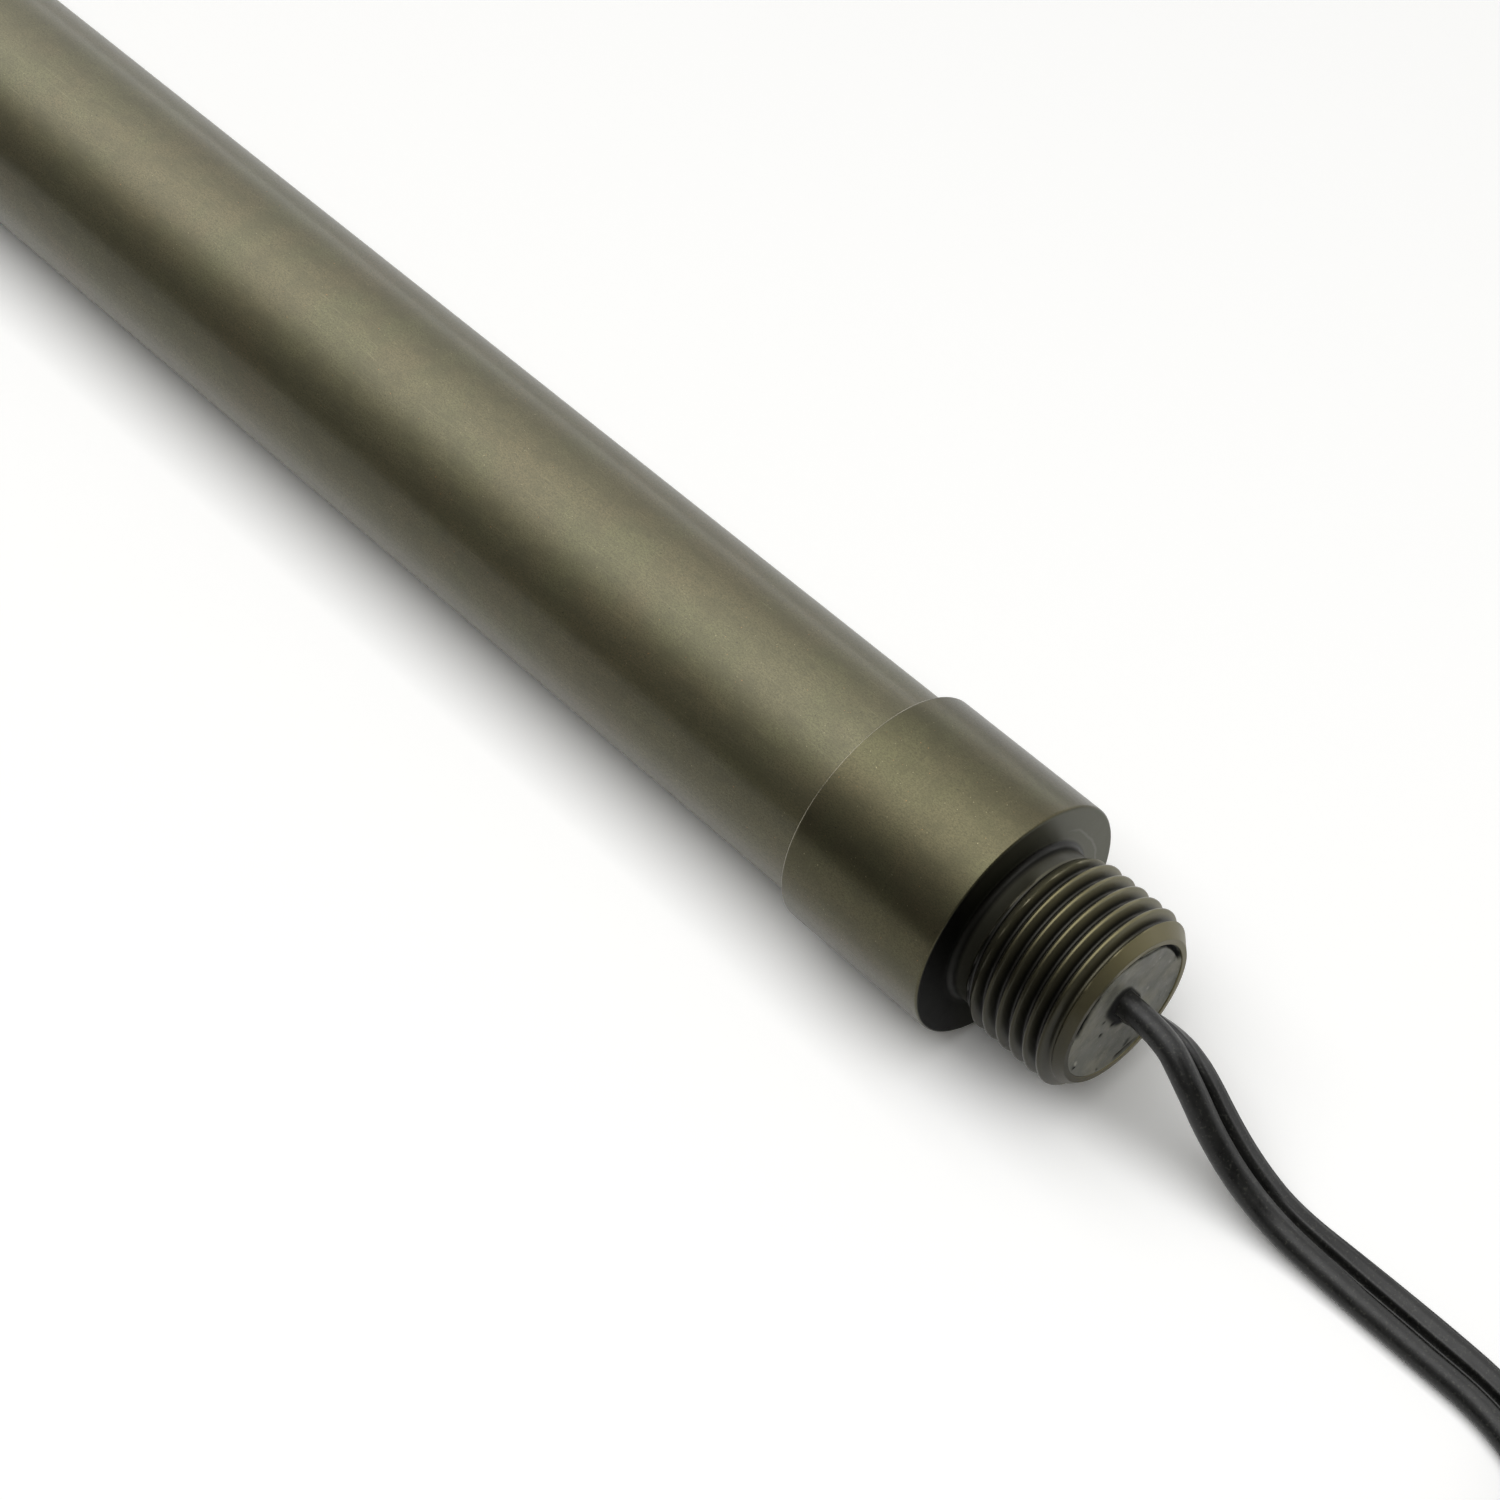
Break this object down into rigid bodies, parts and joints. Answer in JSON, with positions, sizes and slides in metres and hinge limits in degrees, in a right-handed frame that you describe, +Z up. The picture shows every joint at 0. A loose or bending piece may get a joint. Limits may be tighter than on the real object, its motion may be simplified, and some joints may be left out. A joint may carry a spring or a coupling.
{
  "type": "submersible tube heater",
  "caption": "Metal-sheathed tube heater for water, with a collar, a pipe-threaded nipple, a resin-sealed flat cord, an inner thermostat and a plug.",
  "frame": {"origin": "on the surface that the heater rests on, below the middle of its length, cord left out", "axes": "+X along the sheath towards the cord end, +Z up from the surface"},
  "size_m": [0.6155, 0.0448, 0.028],
  "materials": {
    "bronze_tube": "satin antique bronze, drawn lengthwise",
    "bronze_fitting": "satin antique bronze, turned",
    "grey_rubber": "matt",
    "grey_resin": "matt cast resin",
    "steel": "plain",
    "black_cord": "semi-matt",
    "brown_board": "pressed laminate",
    "ceramic": "unglazed",
    "white_ceramic": "glazed",
    "brass": "bright brass",
    "strip_metal": "rolled",
    "silver_contact": "silver",
    "dark_iron": "sintered",
    "blue_case": "gloss",
    "core_insulation": "matt",
    "coil_metal": "oxidised resistance wire",
    "mica": "pressed mica",
    "fibre": "ceramic fibre felt",
    "tie_rubber": "matt",
    "black_plug": "moulded",
    "plug_brass": "bright brass"
  },
  "bodies": {
    "heater": {"sheath_tube": "bronze_tube", "base_fitting": "bronze_fitting", "end_cap": "bronze_fitting", "front_gasket": "grey_rubber", "rear_gasket": "grey_rubber", "potting_resin": "grey_resin", "resin_dam": "grey_rubber", "cord_clamp": "steel", "cord_inside": "black_cord", "thermostat_board": "brown_board", "strip_block": "ceramic", "strip_clamp_plate": "ceramic", "strip_rivets": "brass", "contact_arm": "brass", "contact_screw": "brass", "fixed_contact": "silver_contact", "screw_lock_nut": "brass", "snap_magnet": "dark_iron", "suppressor_capacitor": "blue_case", "thermal_fuse": "white_ceramic", "crimp_sleeves": "steel", "live_lead": "core_insulation", "neutral_lead": "core_insulation", "element_lead": "steel", "return_lead": "steel", "heat_barrier": "grey_rubber", "front_element_disc": "ceramic", "element_former": "ceramic", "heating_coil": "coil_metal", "element_liner": "mica", "rear_element_disc": "ceramic", "end_pad": "fibre", "cord_lead": "black_cord", "cord_hank": "black_cord", "cord_tail": "black_cord", "hank_tie": "tie_rubber", "plug_body": "black_plug", "plug_relief": "black_plug", "plug_blades": "plug_brass"},
    "strip": {"bimetal_strip": "strip_metal", "moving_contact": "silver_contact", "strip_armature": "steel"}
  },
  "joints": [
    {"name": "strip_opens", "type": "hinge", "parent": "heater", "child": "strip", "pos_m": [0.0763, 0, 0.0138], "axis": [0, 1, 0], "range_deg": [0, 2], "stiffness_Nm_per_rad": 0.05}
  ]
}
